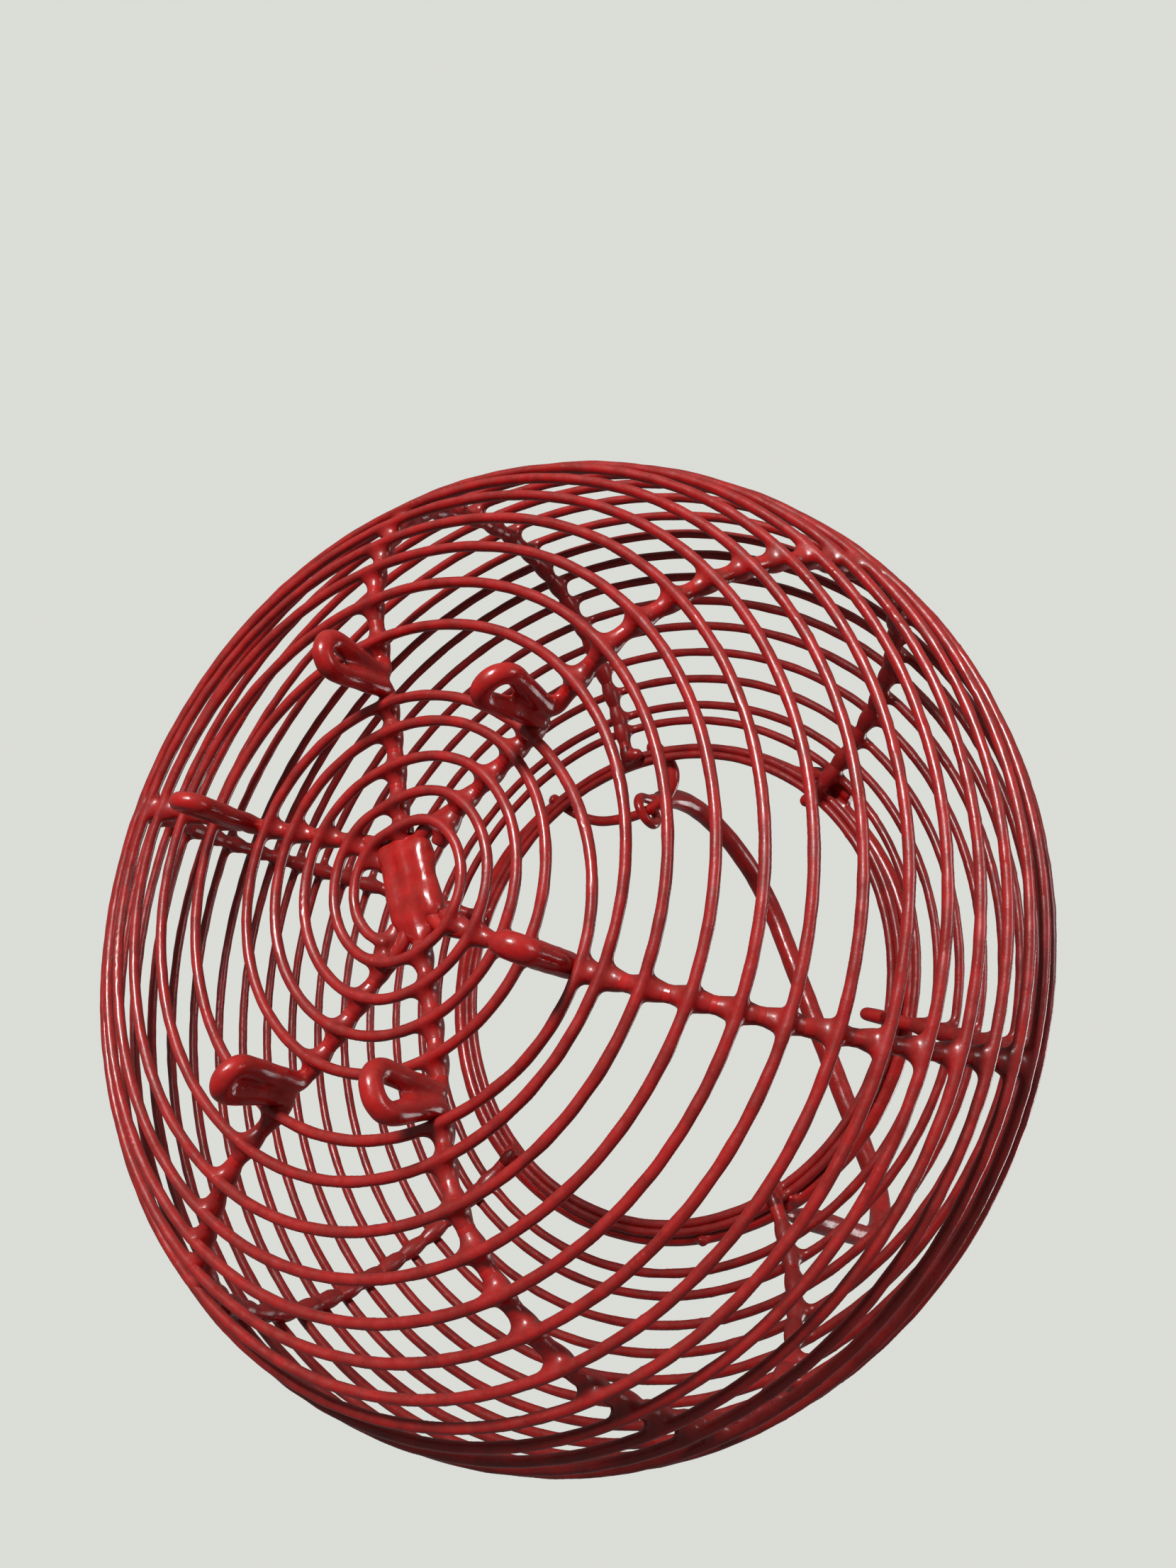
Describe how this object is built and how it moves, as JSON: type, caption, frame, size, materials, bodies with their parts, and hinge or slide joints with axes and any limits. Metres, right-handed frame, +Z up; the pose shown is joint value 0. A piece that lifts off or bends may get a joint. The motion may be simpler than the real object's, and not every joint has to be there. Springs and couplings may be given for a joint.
{
  "type": "wire egg basket",
  "caption": "Globe-shaped basket of plastic-dipped wire: bent ribs with hairpin feet, one long coil, a ringed mouth and a swinging bail.",
  "frame": {"origin": "on the floor plane touched by the foot tips, straight below the middle of the base", "axes": "+Z up through the mouth; the bail hinges about a line parallel to X, and leans towards -Y at rest"},
  "size_m": [0.2589, 0.2591, 0.2417],
  "materials": {
    "dipped_heavy_wire": "gloss",
    "dipped_coil_wire": "gloss"
  },
  "bodies": {
    "basket": {"rib_a": "dipped_heavy_wire", "rib_b": "dipped_heavy_wire", "rib_c": "dipped_heavy_wire", "rib_d": "dipped_heavy_wire", "rib_e": "dipped_heavy_wire", "rib_f": "dipped_heavy_wire", "hub_pad": "dipped_heavy_wire", "coil_turn_01": "dipped_coil_wire", "coil_turn_02": "dipped_coil_wire", "coil_turn_03": "dipped_coil_wire", "coil_turn_04": "dipped_coil_wire", "coil_turn_05": "dipped_coil_wire", "coil_turn_06": "dipped_coil_wire", "coil_turn_07": "dipped_coil_wire", "coil_turn_08": "dipped_coil_wire", "coil_turn_09": "dipped_coil_wire", "coil_turn_10": "dipped_coil_wire", "coil_turn_11": "dipped_coil_wire", "coil_turn_12": "dipped_coil_wire", "coil_turn_13": "dipped_coil_wire", "coil_turn_14": "dipped_coil_wire", "coil_turn_15": "dipped_coil_wire", "coil_turn_16": "dipped_coil_wire", "coil_turn_17": "dipped_coil_wire", "coil_turn_18": "dipped_coil_wire", "coil_turn_19": "dipped_coil_wire", "coil_turn_20": "dipped_coil_wire", "coil_turn_21": "dipped_coil_wire", "coil_turn_22": "dipped_coil_wire", "coil_turn_23": "dipped_coil_wire", "coil_turn_24": "dipped_coil_wire", "coil_turn_25": "dipped_coil_wire", "coil_turn_26": "dipped_coil_wire", "mouth_ring_inner": "dipped_coil_wire", "mouth_ring_outer": "dipped_coil_wire", "rim_hoop": "dipped_heavy_wire", "ear_left": "dipped_heavy_wire", "ear_right": "dipped_heavy_wire"},
    "bail": {"bail": "dipped_heavy_wire"}
  },
  "joints": [
    {"name": "bail_hinge", "type": "hinge", "parent": "basket", "child": "bail", "pos_m": [0.007, -0.009, 0.1615], "axis": [1, 0, 0], "range_deg": [-49, 41]}
  ]
}
